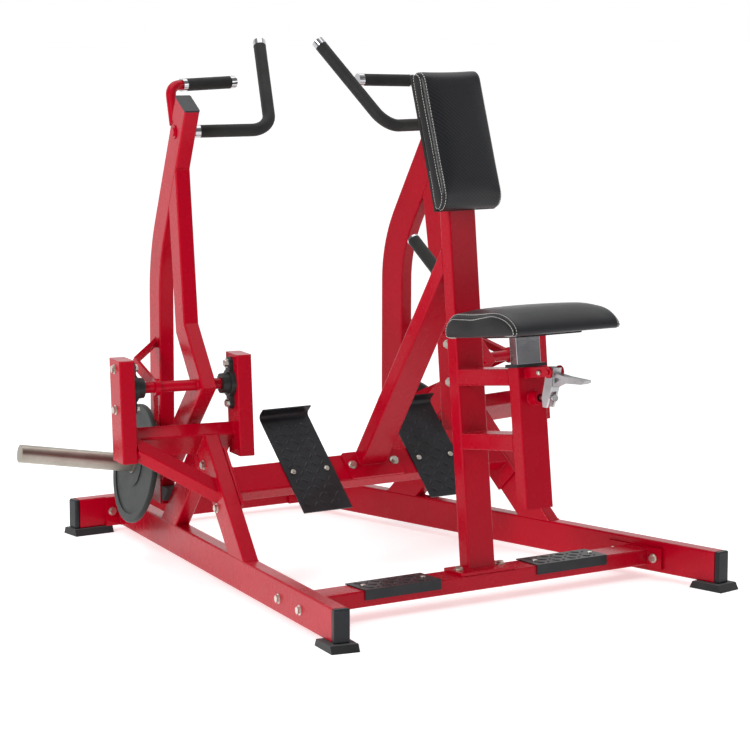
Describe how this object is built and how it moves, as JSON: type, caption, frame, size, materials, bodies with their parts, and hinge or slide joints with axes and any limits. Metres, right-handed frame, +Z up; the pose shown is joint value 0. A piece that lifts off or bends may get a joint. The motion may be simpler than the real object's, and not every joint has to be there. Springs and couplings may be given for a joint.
{
  "type": "t bar row",
  "caption": "Plate-loaded seated row machine: splayed tube frame, chest pad, height-adjustable seat, foot plates and two separately hinged lever arms with handles and weight horns.",
  "frame": {"origin": "middle of the bounding box, on the floor under the rubber feet", "axes": "+Z up, +X to the machine's right seen from the seat side, +Y from the seat towards the arms and the weight horns"},
  "size_m": [1.633, 1.8315, 1.4527],
  "materials": {
    "red_paint": "glossy powder coat",
    "black_plastic": "moulded satin",
    "black_rubber": "matt",
    "charcoal_plate": "textured dark coat with raised treads",
    "zinc_fasteners": "zinc plated",
    "chrome_fittings": "polished",
    "grip_rubber": "matt ribbed foam rubber",
    "black_casting": "black coated casting",
    "black_vinyl": "upholstery vinyl",
    "black_board": "painted plywood",
    "cast_alloy": "as cast",
    "bright_steel": "turned",
    "horn_steel": "warm grey plated steel",
    "disc_rubber": "moulded black rubber"
  },
  "bodies": {
    "frame": {"left_rail": "red_paint", "right_rail": "red_paint", "far_crossbar": "red_paint", "near_crossbar": "red_paint", "frame_flanges": "red_paint", "base_plates": "red_paint", "chest_post": "red_paint", "seat_rungs": "red_paint", "seat_outer_post": "red_paint", "diagonal_brace": "red_paint", "foot_bar": "red_paint", "stand_posts": "red_paint", "cross_tubes": "red_paint", "near_legs": "red_paint", "rear_legs": "red_paint", "stand_struts": "red_paint", "latch_bracket": "red_paint", "plunger_barrel": "red_paint", "tube_end_caps": "black_plastic", "seat_bush": "black_plastic", "rubber_feet": "black_rubber", "arm_bumpers": "black_rubber", "tread_pads": "charcoal_plate", "foot_plates": "charcoal_plate", "frame_bolts": "zinc_fasteners", "bearing_bolts": "zinc_fasteners", "plate_screws": "zinc_fasteners", "grab_handle": "chrome_fittings", "grab_handle_grip": "grip_rubber", "flange_bearings": "black_casting", "chest_pad_cushion": "black_vinyl", "chest_pad_board": "black_board"},
    "left_arm": {"left_arm_tube": "red_paint", "left_arm_brace": "red_paint", "left_pivot_shaft": "bright_steel", "left_pivot_sleeve": "red_paint", "left_upper_handle": "red_paint", "left_lower_handle": "chrome_fittings", "left_handle_grips": "grip_rubber", "left_handle_fittings": "chrome_fittings", "left_arm_end_cap": "black_plastic", "left_weight_horn": "horn_steel", "left_stop_disc": "disc_rubber"},
    "right_arm": {"right_arm_tube": "red_paint", "right_arm_brace": "red_paint", "right_pivot_shaft": "bright_steel", "right_pivot_sleeve": "red_paint", "right_upper_handle": "red_paint", "right_lower_handle": "chrome_fittings", "right_handle_grips": "grip_rubber", "right_handle_fittings": "chrome_fittings", "right_arm_end_cap": "black_plastic", "right_weight_horn": "horn_steel", "right_stop_disc": "disc_rubber"},
    "seat": {"seat_tube": "chrome_fittings", "seat_board": "black_board", "seat_cushion": "black_vinyl"},
    "latch_lever_body": {"latch_lever": "cast_alloy"},
    "plunger": {"plunger_pin": "bright_steel"}
  },
  "joints": [
    {"name": "left_arm_pivot", "type": "hinge", "parent": "frame", "child": "left_arm", "pos_m": [-0.52174, 0.17786, 0.5315], "axis": [0.9837, -0.18, 0], "range_deg": [0, 40]},
    {"name": "right_arm_pivot", "type": "hinge", "parent": "frame", "child": "right_arm", "pos_m": [0.52174, 0.17786, 0.5315], "axis": [0.9837, 0.18, 0], "range_deg": [0, 40]},
    {"name": "seat_slide", "type": "slide", "parent": "frame", "child": "seat", "axis": [0, 0.1219, 0.9925], "range_m": [0, 0.09]},
    {"name": "latch_lift", "type": "hinge", "parent": "frame", "child": "latch_lever_body", "pos_m": [0, -0.773, 0.641], "axis": [-1, 0, 0], "range_deg": [0, 16], "stiffness_Nm_per_rad": 4, "springref_deg": -20.05},
    {"name": "plunger_pull", "type": "slide", "parent": "frame", "child": "plunger", "axis": [0, -0.9925, 0.1219], "range_m": [0, 0.017]}
  ],
  "couplings": [
    {"joint": "plunger_pull", "follows": "latch_lift", "m_per_rad": 0.06}
  ]
}
